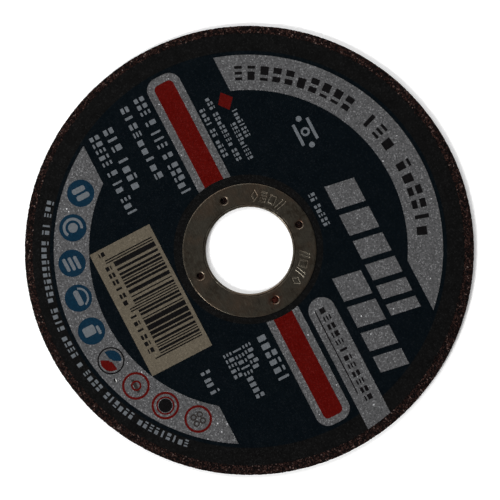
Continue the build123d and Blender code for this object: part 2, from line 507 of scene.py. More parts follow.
# Struck marks on the flange: the middle of each group in degrees, and its marks from left to right.
# A mark's strokes run through points in a cell of 1 by 1
STAMPS = (
    (133.5, ("lozenge", "rungs", "square", "slopes")),
    (44.0, ("slopes", "square", "slopes", "lozenge")),
)
STAMP_PITCH = 9.6
STAMP_WIDTH = 1.6 * MM
STAMP_HEIGHT = 2.6 * MM
STAMP_FOOT = 12.75 * MM
STROKES = {
    "rungs": [((0.05, level), (0.95, level)) for level in (0.04, 0.35, 0.65, 0.96)],
    "lozenge": [((0.5, 0), (1, 0.5), (0.5, 1), (0, 0.5), (0.5, 0))],
    "square": [((0, 0.1), (1, 0.1), (1, 0.9), (0, 0.9), (0, 0.1))],
    "slopes": [((0, 0), (0.45, 1)), ((0.55, 0), (1, 1))],
}


def stamp_segments():
    """The struck marks as line segments on the flange."""
    segments = []
    for middle, names in STAMPS:
        for place, name in enumerate(names):
            angle = math.radians(middle - (place - (len(names) - 1) / 2) * STAMP_PITCH)
            out = np.array(polar(1, angle))
            along = np.array((math.sin(angle), -math.cos(angle)))
            origin = out * STAMP_FOOT - along * STAMP_WIDTH / 2
            for stroke in STROKES[name]:
                ends = [origin + along * x * STAMP_WIDTH + out * y * STAMP_HEIGHT for x, y in stroke]
                segments += zip(ends, ends[1:])
    return segments


def distance_to_segment(points, first, second):
    """Distance of each point of a plane from a line segment."""
    line = second - first
    part = np.clip(((points - first) @ line) / (line @ line), 0, 1)
    return np.linalg.norm(points - first - part[:, None] * line, axis=1)


def nearest_hole(plane):
    """Centre of the anchor hole that is nearest to each point of a plane."""
    quarter = math.pi / 2 * np.round(np.arctan2(plane[:, 1], plane[:, 0]) / (math.pi / 2))
    return ANCHOR_CIRCLE * np.stack([np.cos(quarter), np.sin(quarter)], axis=1)


def ring_turns():
    """Angles round the ring, closer together at the struck marks and the anchor holes."""
    stamp_reach, hole_reach, extra = 20, 6, 1.3
    degrees = np.linspace(0, 360, 7201)
    weight = np.ones(len(degrees))
    dense = [(middle, stamp_reach) for middle, _ in STAMPS]
    dense += [(90 * quarter, hole_reach) for quarter in range(5)]
    for middle, reach in dense:
        weight += extra * (np.abs(degrees - middle) < reach)
    reached = np.concatenate([[0], np.cumsum((weight[1:] + weight[:-1]) / 2)])
    places = np.linspace(0, reached[-1], RING_COLUMNS, endpoint=False)
    return np.radians(np.interp(places, reached, degrees))


def ring_rows():
    """Radius and height of the rows of the ring's skin: rolled edge, face, bore and underside."""
    edge = [(FLANGE_RADIUS - 0.05 * MM, FACE_Z), (FLANGE_RADIUS, FACE_Z + 0.04 * MM)]
    for inward, down in ((0, 0.14), (0.03, 0.06), (0.1, 0.02), (0.22, 0)):
        edge.append((FLANGE_RADIUS - inward * MM, RING_TOP - down * MM))
    # The rows are closest across the anchor holes and the struck marks
    zones = ((FLANGE_RADIUS - 0.42 * MM, 15.66 * MM, 8), (15.6 * MM, 12.6 * MM, 43),
             (12.45 * MM, 12.1 * MM, 4), (12.0 * MM, 11.6 * MM, 8))
    face = [(radius, RING_TOP) for zone in zones for radius in np.linspace(*zone)]
    bend_centre, bend_z = BORE_RADIUS + BEND_RADIUS, RING_TOP - BEND_RADIUS
    bend_turns = np.radians(np.linspace(90, 180, 7)[1:])
    bore = [polar(BEND_RADIUS, turn, bend_centre, bend_z) for turn in bend_turns]
    ease, rise, inner_bend = 0.025 * MM, 0.03 * MM, BEND_RADIUS - SHEET
    bore += [(BORE_RADIUS, 0.5 * MM), (BORE_RADIUS, COLLAR_END + rise), (BORE_RADIUS + ease, COLLAR_END),
             (COLLAR_RADIUS - ease, COLLAR_END), (COLLAR_RADIUS, COLLAR_END + rise),
             (COLLAR_RADIUS, FACE_Z - inner_bend), (COLLAR_RADIUS + 0.06 * MM, FACE_Z - 0.06 * MM)]
    under = [(radius, FACE_Z) for radius in (bend_centre, *np.linspace(12.9 * MM, 15.6 * MM, 12))]
    return edge, face, bore, under


def drawn_holes(plane):
    """Face points drawn to the anchor holes' edges, and how far the sheet sinks at each of them.

    The sheet draws in round a hole and goes down through it into the grain.
    """
    near, inner_step, outer_step = 0.05 * MM, 0.03 * MM, 0.02 * MM
    lip_reach, lip_depth, throat_depth, hole_depth = 0.42 * MM, 0.17 * MM, 0.24 * MM, 0.79 * MM
    centre = nearest_hole(plane)
    offset = plane - centre
    distance = np.linalg.norm(offset, axis=1)
    inside = distance < ANCHOR_RADIUS
    at_edge = np.abs(distance - ANCHOR_RADIUS) < near
    wanted = np.where(inside, ANCHOR_RADIUS - inner_step, ANCHOR_RADIUS + outer_step)
    pulled = centre + offset / np.maximum(distance, 1e-9)[:, None] * wanted[:, None]
    plane = np.where(at_edge[:, None], pulled, plane)
    distance = np.where(at_edge, wanted, distance)
    lip = np.clip(1 - (distance - ANCHOR_RADIUS) / lip_reach, 0, 1)
    throat = np.minimum(throat_depth + 4.0 * (ANCHOR_RADIUS - distance), hole_depth)
    return plane, np.where(inside, throat, lip_depth * lip ** 2)


def burr_depth(plane):
    """How far the underside goes down round the anchor holes."""
    depth, reach, slope = 0.57 * MM, 1.15 * MM, 0.25 * MM
    distance = np.linalg.norm(plane - nearest_hole(plane), axis=1)
    return depth * np.clip((reach - distance) / slope, 0, 1)


def struck_depth(plane, depth):
    """Depth of the struck marks at each point of the face."""
    half_width, slope = 0.2 * MM, 0.1 * MM
    nearest = np.full(len(plane), np.inf)
    for start, end in stamp_segments():
        nearest = np.minimum(nearest, distance_to_segment(plane, start, end))
    return depth * np.clip((half_width - nearest) / slope, 0, 1)


def worn_depth(plane):
    """Shallow dents in the face, none of them near its two edges."""
    outer, inner, fade, mean = FLANGE_RADIUS - 0.3 * MM, 11.62 * MM, 0.6 * MM, 0.016 * MM
    points = np.concatenate([plane, np.zeros((len(plane), 1))], axis=1)
    dents = np.full(len(plane), mean)
    for size, depth, seed in ((3.1 * MM, 0.03 * MM, 31), (0.8 * MM, 0.01 * MM, 32)):
        dents += (soft_noise(points, size, seed) - 0.5) * depth
    reach = np.linalg.norm(plane, axis=1)
    edge_gap = np.minimum(outer - reach, reach - inner)
    return np.clip(dents, 0, 1) * np.clip(edge_gap / fade, 0, 1)


def ring_surface(settings):
    """The ring as one fine skin: flange rim, face, bend, bore wall, end and outside of the collar."""
    edge, face, bore, under = ring_rows()
    profile = np.array(edge + face + bore + under)
    on_face = slice(len(edge), len(edge) + len(face))
    below = slice(len(profile) - len(under), None)
    turn = ring_turns()
    radius = np.repeat(profile[:, :1], RING_COLUMNS, axis=1)
    height = np.repeat(profile[:, 1:], RING_COLUMNS, axis=1)
    flat = np.stack([radius * np.cos(turn), radius * np.sin(turn)], axis=2)
    plane, sink = drawn_holes(flat[on_face].reshape(-1, 2))
    sink = sink + struck_depth(plane, settings.stamp_depth)
    # A shallow line that the drawing punch left beside the bend
    line_depth, line_reach = 0.06 * MM, 0.15 * MM
    beside = np.abs(np.linalg.norm(plane, axis=1) - PUNCH_LINE)
    sink = sink + line_depth * np.clip(1 - beside / line_reach, 0, 1)
    sink = sink + worn_depth(plane)
    height[below] -= burr_depth(flat[below].reshape(-1, 2)).reshape(-1, RING_COLUMNS)
    flat[on_face] = plane.reshape(-1, RING_COLUMNS, 2)
    height[on_face] -= sink.reshape(-1, RING_COLUMNS)
    points = np.concatenate([flat, height[:, :, None]], axis=2).reshape(-1, 3)
    return points, grid_faces(len(profile), RING_COLUMNS, looped=True)


# Printed marks

class MarkSheet:
    """Flat outlines that share one ink, each as a thin prism at its own height."""

    def __init__(self, film):
        self.film = film
        self.vertices = []
        self.faces = []

    def add_row(self, outline, height):
        """Points of an outline in millimetres, at a height in metres."""
        for x, y in outline:
            self.vertices.append((x * MM + PAPER_CENTRE[0], y * MM + PAPER_CENTRE[1], height))

    def prism(self, outline, base):
        """One closed outline, anticlockwise, on a surface at a height in metres."""
        start = len(self.vertices)
        for height in (base - self.film / 2, base + self.film):
            self.add_row(outline, height)
        self.faces += tube_faces(2, len(outline), start)

    def ring(self, centre, base, outer, inner, start=0.0, sweep=360.0, steps=64, across=0.0, up=0.0):
        """A round ring, or the part of one from a start angle on."""
        first = len(self.vertices)
        x, y = centre[0] + across, centre[1] + up
        turns = [math.radians(start + sweep * i / steps) for i in range(steps + 1)]
        if sweep < 360:
            arc = [polar(outer, turn, x, y) for turn in turns]
            self.prism(arc + [polar(inner, turn, x, y) for turn in reversed(turns)], base)
            return
        low, high = base - self.film / 2, base + self.film
        for radius, height in ((outer, low), (outer, high), (inner, high), (inner, low)):
            self.add_row([polar(radius, turn, x, y) for turn in turns[:-1]], height)
        self.faces += grid_faces(4, steps, first, looped=True)

    def box(self, centre, base, left, bottom, right, top, corner):
        """A box with rounded corners, its sides counted from a centre."""
        left, right = centre[0] + left, centre[0] + right
        bottom, top = centre[1] + bottom, centre[1] + top
        corner = min(corner, (right - left) / 2.01, (top - bottom) / 2.01)
        corners = ((right - corner, top - corner, 0), (left + corner, top - corner, 90),
                   (left + corner, bottom + corner, 180), (right - corner, bottom + corner, 270))
        self.prism([polar(corner, math.radians(start + 30 * step), x, y)
                    for x, y, start in corners for step in range(4)], base)

    def disc(self, centre, base, radius, steps, across=0.0):
        """A round disc."""
        x, y = centre[0] + across, centre[1]
        self.prism([polar(radius, FULL_TURN * i / steps, x, y) for i in range(steps)], base)


# Small block marks, each of one to three boxes in a cell of 1 by 1: left, bottom, right, top
BLOCKS = (
    ((0.0, 0.0, 0.66, 0.38), (0.0, 0.58, 0.66, 1.0)),
    ((0.0, 0.0, 0.6, 0.6), (0.0, 0.8, 0.6, 1.0)),
    ((0.0, 0.0, 0.66, 0.2), (0.0, 0.4, 0.66, 1.0)),
    ((0.14, 0.0, 0.44, 1.0),),
    ((0.0, 0.0, 0.6, 0.2), (0.0, 0.4, 0.6, 0.6), (0.0, 0.8, 0.6, 1.0)),
    ((0.0, 0.0, 0.66, 0.72),),
)

# Lines of marks, each with left, right, bottom, top and the marks in each of its groups
FIELD_LINES = (
    (-47.4, -19.3, -8.6, -5.9, (3, 1, 3, 1, 5)), (-46.9, -25.8, -12.7, -10.6, (9,)),
    (-44.0, -26.2, -19.2, -16.6, (3, 4)), (-43.9, -21.0, -23.2, -20.6, (5, 1, 2, 3)),
    (21.0, 34.8, -8.6, -5.6, (6,)), (21.1, 28.3, -12.9, -10.7, (5,)),
    (21.1, 35.5, -15.7, -13.4, (9,)), (21.1, 28.5, -18.4, -16.2, (5,)),
    (22.5, 29.2, -25.6, -23.1, (1, 2, 1)), (-5.3, 4.3, 19.9, 21.6, (2, 5)),
    (-33.5, -25.3, 12.6, 14.0, (8,)), (-30.5, -19.9, 10.6, 12.0, (10,)),
    (-39.2, -20.9, 7.8, 9.2, (3, 8, 3)), (-37.3, -23.3, 5.2, 6.6, (4, 2, 4)),
)
STRIP_LINE = (21.9, 49.2, 8.8, 10.8, (12,))
STRIP_RULE = (21.9, 7.6, 45.6, 7.9, 0.1)
PANEL_LINES = ((-16.6, -14.8, -34.8, -33.2, (1,)), (-12.7, -1.0, -34.8, -33.2, (6,)),
               (1.2, 12.7, -34.8, -33.2, (6,)))
LOZENGE = ((-38.9, 12.2), (-36.4, 10.2), (-33.9, 12.2), (-36.4, 14.4))

# Nick in the lower band: a dark slit that is a painted shadow, and beside it the torn white edge, partly
# bared paper and partly a painted glint
NICK_X, NICK_Y = 14.05, -45.48
NICK = {
    "dark": ((-0.55, -0.42), (0.3, -0.6), (0.45, -0.25), (-0.5, -0.02)),
    "torn": ((-0.6, 0.06), (0.05, -0.12), (0.62, -0.16), (0.1, 0.1)),
}

# Marks on the upper band: start angle, end angle and number of marks of each group
BAND_SPANS = ((157.0, 115.4, 10), (110.6, 96.4, 3), (92.4, 65.6, 6))
BAND_INNER, BAND_OUTER = 43.3, 47.0

# Marks along the black border, with a gap between groups that is counted in marks
BORDER_GROUPS = (3, 2, 10, 4, 4, 1, 4, 6, 9)
BORDER_GAP = 0.7
BORDER_START, BORDER_SWEEP = -131.2, 87.2
BORDER_INNER, BORDER_OUTER = 51.15, 52.95

# Bars on the pale panel, their widths and gaps counted in modules. A bar that starts in one of
# the spans is thin and long
BAR_MODULE = 0.33
BAR_WIDTHS = (1, 1, 2, 2, 3, 4)
BAR_GAPS = (1, 1, 1, 2)
BARS_LEFT, BARS_RIGHT, BARS_TOP = -14.4, 14.0, -20.5
SHORT_BAR_FOOT, LONG_BAR_FOOT = -32.2, -34.0
LONG_BAR_SPANS = ((-15, -13.6), (-0.7, 0.7), (13.1, 15))

# Shapes round a centre: the ink, the kind and its sizes. A box has its sides and corner radius, a
# ring its two radii, start, sweep, steps and shift, and a disc its radius, steps and shift. The
# second list of a badge lies over the first
SIGN_CENTRE = (-20.0, 26.8)
SIGN = (
    ("pale", "box", -3.0, -2.4, 3.0, -1.6, 0.2), ("pale", "box", -3.0, 1.6, 3.0, 2.4, 0.2),
    ("pale", "ring", 1.15, 0.6), ("pale", "disc", 0.75, 24, -3.7), ("pale", "disc", 0.75, 24, 3.7),
)
BLUE_DISC = ("blue", "disc", 3.5, 56)
RED_RING = ("red", "ring", 3.55, 2.95, 0, 360, 72)
BADGES = (
    ([BLUE_DISC], [("pale", "box", -1.7, -1.9, -0.3, 1.6, 0.5),
                   ("pale", "box", 0.3, -1.6, 1.7, 1.9, 0.5)]),
    ([BLUE_DISC], [("pale", "ring", 2.6, 1.9, 60, 240, 40), ("pale", "disc", 1.25, 28)]),
    ([BLUE_DISC], [("pale", "box", 0.3 * row - 2.0, 1.4 * row - 2.0, 0.3 * row + 1.6, 1.4 * row - 1.1, 0.4)
                   for row in range(3)]),
    ([BLUE_DISC], [("pale", "box", -2.1, -0.7, 2.1, 0.7, 0.6), ("pale", "ring", 2.7, 2.2, 20, 140, 30)]),
    ([BLUE_DISC], [("pale", "box", -1.5, -2.1, 1.0, 1.1, 0.5), ("pale", "box", -0.6, 1.4, 1.7, 2.2, 0.3)]),
    ([("dark", "ring", 3.5, 3.12, 0, 360, 72), ("blue", "ring", 2.7, 0.35, 60, 130, 24),
      ("red", "ring", 2.7, 0.35, 240, 130, 24)], []),
    ([RED_RING, ("grey", "box", -1.9, -0.5, 1.9, 0.3, 0.3)],
     [("red", "ring", 1.35, 0.9, 0, 360, 36, 0, 0.1)]),
    ([RED_RING, ("dark", "disc", 1.75, 36)], [("red", "ring", 2.35, 1.95, 0, 360, 40)]),
    ([RED_RING] + [("grey", "ring", 0.85, 0.45, 0, 360, 28, *polar(1.25, math.radians(turn)))
                   for turn in (45, 135, 225, 315)], []),
)
BADGE_START, BADGE_PITCH, BADGE_CIRCLE = -136, 11.5, 45.25


def straight_marks(sheet, left, right, bottom, top, groups, base, pick):
    """Groups of block marks that fill a straight line."""
    group_gap, fill, corner = 0.55, 0.98, 0.07
    width = (right - left) / (sum(groups) + group_gap * (len(groups) - 1))
    height = top - bottom
    x = left
    for count in groups:
        for _ in range(count):
            for a, b, c, d in BLOCKS[pick.integers(len(BLOCKS))]:
                sheet.box((x, bottom), base, a * width * fill, b * height,
                          c * width * fill, d * height, corner * height)
            x += width
        x += group_gap * width


def arched_marks(sheet, spans, foot, head, base, pick):
    """Groups of block marks on an arc, from the radius of their foot to that of their head."""
    fill = 0.96
    for start, end, count in spans:
        step = (end - start) / count
        for index in range(count):
            for a, b, c, d in BLOCKS[pick.integers(len(BLOCKS))]:
                places = [index + side * fill for side in (a, (a + c) / 2, c)]
                sides = [math.radians(start + step * place) for place in places]
                low, high = foot + b * (head - foot), foot + d * (head - foot)
                outline = [polar(low, turn) for turn in sides]
                sheet.prism(outline + [polar(high, turn) for turn in reversed(sides)], base)


def border_spans():
    """Start, end and number of marks of each group along the black border."""
    step = BORDER_SWEEP / (sum(BORDER_GROUPS) + BORDER_GAP * (len(BORDER_GROUPS) - 1))
    spans = []
    angle = BORDER_START
    for count in BORDER_GROUPS:
        spans.append((angle, angle + count * step, count))
        angle += (count + BORDER_GAP) * step
    return spans


def print_shapes(sheets, centre, base, shapes):
    """Shapes round a centre, each on the sheet of its ink."""
    for ink, kind, *sizes in shapes:
        getattr(sheets[ink], kind)(centre, base, *sizes)


def print_field(sheets, pick):
    """Lines of marks, a small sign and a lozenge on the navy field."""
    for line in FIELD_LINES:
        straight_marks(sheets["pale"], *line, NAVY_TOP, pick)
    print_shapes(sheets, SIGN_CENTRE, NAVY_TOP, SIGN)
    sheets["red"].prism(LOZENGE, NAVY_TOP)


def print_bands(sheets, pick):
    """Marks on the upper band, the strip and the black border, and the nick in the lower band."""
    arched_marks(sheets["dark"], BAND_SPANS, BAND_INNER, BAND_OUTER, SILVER_TOP, pick)
    straight_marks(sheets["dark"], *STRIP_LINE, NAVY_TOP, pick)
    sheets["dark"].box((0, 0), NAVY_TOP, *STRIP_RULE)
    arched_marks(sheets["pale"], border_spans(), BORDER_OUTER, BORDER_INNER, PAPER_TOP, pick)
    for ink, corners in NICK.items():
        sheets[ink].prism([(NICK_X + x, NICK_Y + y) for x, y in corners], SILVER_TOP)


def print_panel(sheets, pick):
    """Bars of several widths on the pale panel, and blocks under them."""
    x = BARS_LEFT
    while x < BARS_RIGHT:
        long = any(low < x < high for low, high in LONG_BAR_SPANS)
        width = BAR_MODULE * (1 if long else BAR_WIDTHS[pick.integers(len(BAR_WIDTHS))])
        gap = BAR_MODULE * (1 if long else BAR_GAPS[pick.integers(len(BAR_GAPS))])
        foot = LONG_BAR_FOOT if long else SHORT_BAR_FOOT
        sheets["dark"].box((x, 0), CREAM_TOP, 0, foot, width, BARS_TOP, 0.03)
        x += width + gap
    for line in PANEL_LINES:
        straight_marks(sheets["dark"], *line, CREAM_TOP, pick)


def print_badges(sheets):
    """Round badges along the lower band: blue discs, one of two colours, and red rings."""
    film = sheets["pale"].film
    for place, (under, over) in enumerate(BADGES):
        centre = polar(BADGE_CIRCLE, math.radians(BADGE_START + BADGE_PITCH * place))
        print_shapes(sheets, centre, SILVER_TOP, under)
        print_shapes(sheets, centre, SILVER_TOP + film, over)


# Materials

class Recipe:
    """Short way to write the nodes of a material or a world: nodes by type, links by socket name."""

    def __init__(self, name, library=bpy.data.materials, shader="Principled BSDF"):
        self.owner = library.new(name)
        self.owner.use_nodes = True
        self.tree = self.owner.node_tree
        self.shader = self.tree.nodes[shader]
        self.coordinates = self.add("ShaderNodeTexCoord").outputs
        self.place = self.coordinates["Object"]

    def add(self, kind, inputs=None, **values):
        """A new node with its settings and what goes into its inputs."""
        node = self.tree.nodes.new(kind)
        for key, value in values.items():
            setattr(node, key, value)
        for socket, value in (inputs or {}).items():
            self.feed(node.inputs[socket], value)
        return node

    def feed(self, target, value):
        """A link into an input, or a plain value in it, where a colour gets its alpha."""
        if isinstance(value, bpy.types.NodeSocket):
            self.tree.links.new(value, target)
        elif target.type == "RGBA":
            target.default_value = (*value, 1)
        else:
            target.default_value = value

    def finish(self, **sockets):
        """Feeds the shader's inputs, named with underscores for spaces, and gives the owner."""
        for name, value in sockets.items():
            self.feed(self.shader.inputs[name.replace("_", " ")], value)
        return self.owner

    def noise(self, size, detail, rough, place=None):
        """Cloudy noise between 0 and 1 with patches of a size."""
        inputs = {"Vector": place or self.place, "Scale": 1 / size, "Detail": detail, "Roughness": rough}
        return self.add("ShaderNodeTexNoise", inputs).outputs["Fac"]

    def cells(self, size, output="Distance", feature="F1"):
        """Cells of a size: the distance within each, or a random colour for each."""
        inputs = {"Vector": self.place, "Scale": 1 / size}
        return self.add("ShaderNodeTexVoronoi", inputs, feature=feature).outputs[output]

    def chances(self, size):
        """Three random numbers for each cell of a size."""
        return self.add("ShaderNodeSeparateColor", {"Color": self.cells(size, "Color")}).outputs

    def span(self, value, low, high, to_low=0.0, to_high=1.0):
        """A value moved from one range to another and held within it."""
        inputs = {"Value": value, "From Min": low, "From Max": high, "To Min": to_low, "To Max": to_high}
        return self.add("ShaderNodeMapRange", inputs).outputs["Result"]

    def ramp(self, value, stops):
        """A colour for each value, by stops of position and colour."""
        node = self.add("ShaderNodeValToRGB", {"Fac": value})
        elements = node.color_ramp.elements
        for position, _ in stops[2:]:
            elements.new(position)
        for element, (position, colour) in zip(elements, stops):
            element.position = position
            element.color = (*colour, 1)
        return node.outputs["Color"]

    def mix(self, amount, first, second, blend="MIX"):
        """Two colours mixed by an amount."""
        inputs = {0: amount, 6: first, 7: second}
        return self.add("ShaderNodeMix", inputs, data_type="RGBA", blend_type=blend).outputs[2]

    def layers(self, base, *layers):
        """Colours laid over a base in turn: for each its mask, the mask's range, amount and colour."""
        for mask, low, high, amount, colour in layers:
            base = self.mix(self.span(mask, low, high, 0.0, amount), base, colour)
        return base

    def maths(self, operation, first, second=0.0):
        """Two values put together by a named operation."""
        return self.add("ShaderNodeMath", {0: first, 1: second}, operation=operation).outputs[0]

    def vector(self, operation, first, second, output="Value"):
        """Two vectors put together by a named operation."""
        return self.add("ShaderNodeVectorMath", {0: first, 1: second}, operation=operation).outputs[output]

    def bump(self, height, depth, strength, under=None):
        """A bumped normal, over another one if given."""
        inputs = {"Height": height, "Distance": depth, "Strength": strength}
        if under is not None:
            inputs["Normal"] = under
        return self.add("ShaderNodeBump", inputs).outputs["Normal"]


def grain_material(settings):
    """Red-brown grain in dark resin, with painted shade at the seams between grains, and a few pale grains
    whose brightness is partly a painted glint.
    """
    recipe = Recipe("bonded_grain")
    cell_size = settings.grain_size * 1.15
    chance = recipe.chances(cell_size)
    patches = recipe.noise(1.0 * MM, 3.0, 0.6)
    pick = recipe.maths("ADD", chance["Red"], recipe.span(patches, 0.32, 0.68, -0.32, 0.16))
    tints = recipe.ramp(pick, [(0.0, settings.resin), (0.34, tone(14, 7, 6)), (0.58, settings.grain),
                               (0.78, tone(50, 31, 26)), (0.93, tone(72, 52, 47)), (1.0, settings.spark)])
    # The seams between grain cells are darker: dark resin, and painted shade where the grains meet
    seam_shade = recipe.span(recipe.cells(cell_size, feature="DISTANCE_TO_EDGE"), 0.0, 0.14, 0.25, 1.0)
    base = recipe.mix(1.0, tints, seam_shade, "MULTIPLY")
    # Rust has run from the ring into the grain of the first anchor hole
    from_hole = recipe.vector("DISTANCE", recipe.place, anchor_centre(0, FACE_Z))
    rusty = recipe.span(from_hole, 0.5 * MM, 1.3 * MM, 0.6, 0.0)
    facets = recipe.bump(chance["Blue"], 0.06 * MM, 0.8)
    return recipe.finish(Base_Color=recipe.mix(rusty, base, tone(66, 25, 17)), Specular_IOR_Level=0.05,
                         Roughness=recipe.span(chance["Green"], 0.0, 1.0, 0.38, 0.85),
                         Normal=recipe.bump(recipe.noise(0.08 * MM, 3.0, 0.7), 0.02 * MM, 0.7, facets))


def yarn_material(settings):
    """Glass yarn soaked in brown resin: fine lengthwise filaments and darker soaked patches."""
    recipe = Recipe("glass_yarn")
    soak = recipe.noise(2.4 * MM, 4.0, 0.6)
    fibre = recipe.noise(0.11 * MM, 2.0, 0.7)
    base = recipe.layers(shade(settings.yarn, 0.42), (soak, 0.35, 0.65, 1.0, settings.yarn),
                         (fibre, 0.35, 0.7, 0.6, shade(settings.yarn, 1.5)))
    return recipe.finish(Base_Color=base, Roughness=0.5, Normal=recipe.bump(fibre, 0.02 * MM, 0.6))


def rust_by_holes(recipe):
    """How rusty the plate is, highest beside the first anchor hole."""
    rust = None
    for index, (reach, amount) in enumerate(((2.6, 0.85), (1.7, 0.5), (1.5, 0.2), (1.6, 0.2))):
        distance = recipe.vector("DISTANCE", recipe.place, anchor_centre(index, RING_TOP))
        stain = recipe.span(distance, 0.8 * MM, reach * MM, amount, 0.0)
        rust = stain if rust is None else recipe.maths("MAXIMUM", rust, stain)
    blotches = recipe.span(recipe.noise(0.7 * MM, 4.0, 0.65), 0.36, 0.62)
    return recipe.maths("MULTIPLY", rust, blotches)


def steel_material(settings):
    """Dull stamped plate: rolling grain, fine scratches, brown tarnish and rust by the holes."""
    recipe = Recipe("ring_steel")
    stretch = recipe.add("ShaderNodeMapping", {"Vector": recipe.place, "Scale": (1, 14, 1),
                                               "Rotation": (0, 0, math.radians(-28))})
    lines = recipe.noise(1.6 * MM, 4.0, 0.65, stretch.outputs["Vector"])
    clouds = recipe.noise(2.4 * MM, 6.0, 0.66)
    specks = recipe.noise(0.35 * MM, 3.0, 0.6)
    worn = recipe.noise(7.0 * MM, 3.0, 0.6)
    worn_steel = tuple(v * part for v, part in zip(settings.steel, (0.98, 0.78, 0.7)))
    base = recipe.layers(settings.steel, (clouds, 0.4, 0.62, 1.0, settings.tarnish),
                         (worn, 0.46, 0.62, 0.8, worn_steel),
                         (lines, 0.52, 0.7, 0.6, shade(settings.steel, 1.8)),
                         (specks, 0.56, 0.75, 0.5, shade(settings.tarnish, 0.55)))
    # Painted shade darkens the plate along the punch line
    level = recipe.vector("MULTIPLY", recipe.place, (1, 1, 0), "Vector")
    reach = recipe.vector("LENGTH", level, (0, 0, 0))
    beside = recipe.maths("ABSOLUTE", recipe.maths("SUBTRACT", reach, PUNCH_LINE))
    punch_line_shade = recipe.maths("MULTIPLY", recipe.span(beside, 0.05 * MM, 0.22 * MM, 0.9, 0.0),
                         recipe.span(clouds, 0.3, 0.55, 0.35, 1.0))
    base = recipe.mix(punch_line_shade, base, shade(settings.tarnish, 0.3))
    base = recipe.mix(rust_by_holes(recipe), base, settings.rust)
    rolled = recipe.bump(lines, 0.012 * MM, 0.6)
    return recipe.finish(Base_Color=base, Metallic=0.9, Roughness=recipe.span(clouds, 0.3, 0.7, 0.3, 0.46),
                         Normal=recipe.bump(specks, 0.01 * MM, 0.5, rolled))


def print_material(name, colour, mottle, sparkle, rough, shine, glints=0.0):
    """Ink or paper pressed over the grain: pebbled, mottled, with dark flakes and bright flakes that are
    painted glints.

    Sparkle is how much the flakes show, and glints how much the rare brightest painted glints do.
    """
    recipe = Recipe(name)
    pebbles = recipe.noise(0.55 * MM, 3.0, 0.65)
    patches = recipe.noise(2.6 * MM, 4.0, 0.6)
    fine, coarse = recipe.maths("MULTIPLY", pebbles, 0.8), recipe.maths("MULTIPLY", patches, 0.2)
    chance = recipe.chances(0.26 * MM)
    # The bright flakes and the rare glints are painted glints in the ink's colour
    bright = tuple(min(v * 2.6 + 0.02, 1) for v in colour)
    base = recipe.layers(shade(colour, 1 - mottle),
                         (recipe.maths("ADD", fine, coarse), 0.36, 0.64, 1.0, shade(colour, 1 + mottle)),
                         (chance["Red"], 0.82, 0.95, sparkle, bright),
                         (chance["Green"], 0.82, 0.95, sparkle * 0.7, shade(colour, 0.4)),
                         (chance["Blue"], 0.9985, 0.9992, glints, shade(colour, 7)))
    swell = recipe.bump(pebbles, 0.06 * MM, 0.6)
    return recipe.finish(Base_Color=base, Specular_IOR_Level=shine,
                         Roughness=recipe.span(patches, 0.3, 0.7, rough - 0.08, rough + 0.08),
                         Normal=recipe.bump(recipe.cells(0.34 * MM), 0.03 * MM, 0.4, swell))


def dress(node, material):
    """Gives a CAD node that stays its own material."""
    slots = NODES[node].material_slots
    if not slots:
        raise RuntimeError(f"{node} has no material slot")
    for entry in slots:
        entry.material = material


# Stage

def stage_floor(settings):
    """A wide pale floor that looks white, just under the wheel."""
    reach, glow, gap = 3.0, 0.28, 0.01 * MM
    recipe = Recipe("pale_floor")
    rays = recipe.add("ShaderNodeLightPath").outputs
    seen = recipe.maths("MAXIMUM", rays["Is Camera Ray"], rays["Is Glossy Ray"])
    mesh = bpy.data.meshes.new("floor")
    corners = ((-reach, -reach, 0), (reach, -reach, 0), (reach, reach, 0), (-reach, reach, 0))
    mesh.from_pydata(corners, [], [(0, 1, 2, 3)])
    mesh.materials.append(recipe.finish(
        Base_Color=settings.floor, Roughness=0.9, Specular_IOR_Level=0.0,
        Emission_Color=(1, 1, 1), Emission_Strength=recipe.maths("MULTIPLY", seen, glow)))
    floor = add_object("floor", mesh)
    floor.location.z = -gap


def stage_world():
    """A studio that is dim overhead, brighter towards the horizon, and white to the camera."""
    recipe = Recipe("studio", bpy.data.worlds, "Background")
    split = recipe.add("ShaderNodeSeparateXYZ", {0: recipe.coordinates["Generated"]})
    levels = ((0.0, 0.8), (0.03, 0.3), (0.45, 0.3), (0.8, 0.03))
    light = recipe.ramp(split.outputs["Z"], [(height, (level, level, level)) for height, level in levels])
    seen = recipe.add("ShaderNodeLightPath").outputs["Is Camera Ray"]
    bpy.context.scene.world = recipe.finish(Color=recipe.mix(seen, light, (1, 1, 1)))


def in_picture(roll, to_right, to_top, height):
    """A place by the picture's own right and top, and the height over the floor."""
    right = Vector((math.cos(roll), math.sin(roll), 0))
    top = Vector((-math.sin(roll), math.cos(roll), 0))
    return right * to_right + top * to_top + Vector((0, 0, 1)) * height


def stage_lamps(roll):
    """Three soft square lamps that look at the wheel."""
    for name, to_right, to_top, height, size, power in (
            ("key", -0.74, -0.76, 0.81, 0.4, 16.0),
            ("fill_top", -0.05, 0.62, 0.52, 0.52, 2.1),
            ("fill_left", -0.44, 0.4, 0.52, 0.52, 2.4)):
        data = bpy.data.lights.new(name, "AREA")
        data.shape = "SQUARE"
        data.size = size
        data.energy = power
        lamp = add_object(name, data)
        lamp.location = in_picture(roll, to_right, to_top, height)
        lamp.rotation_euler = (-lamp.location).to_track_quat("-Z", "Y").to_euler()


def stage_camera(settings):
    """The camera straight over the wheel, rolled as the picture is and a little off its centre."""
    picture_size, sensor = 500, 36
    pixels_right, pixels_top = 0.58, 0.39
    pixel = settings.view_width / picture_size
    data = bpy.data.cameras.new("camera")
    data.sensor_width = sensor
    data.lens = sensor * settings.distance / settings.view_width
    data.clip_start, data.clip_end = 0.01, 10
    camera = add_object("camera", data)
    camera.location = in_picture(settings.roll, pixels_right * pixel, pixels_top * pixel,
                                 settings.distance + FACE_Z)
    camera.rotation_euler = (0, 0, settings.roll)
    bpy.context.scene.camera = camera


# Operators

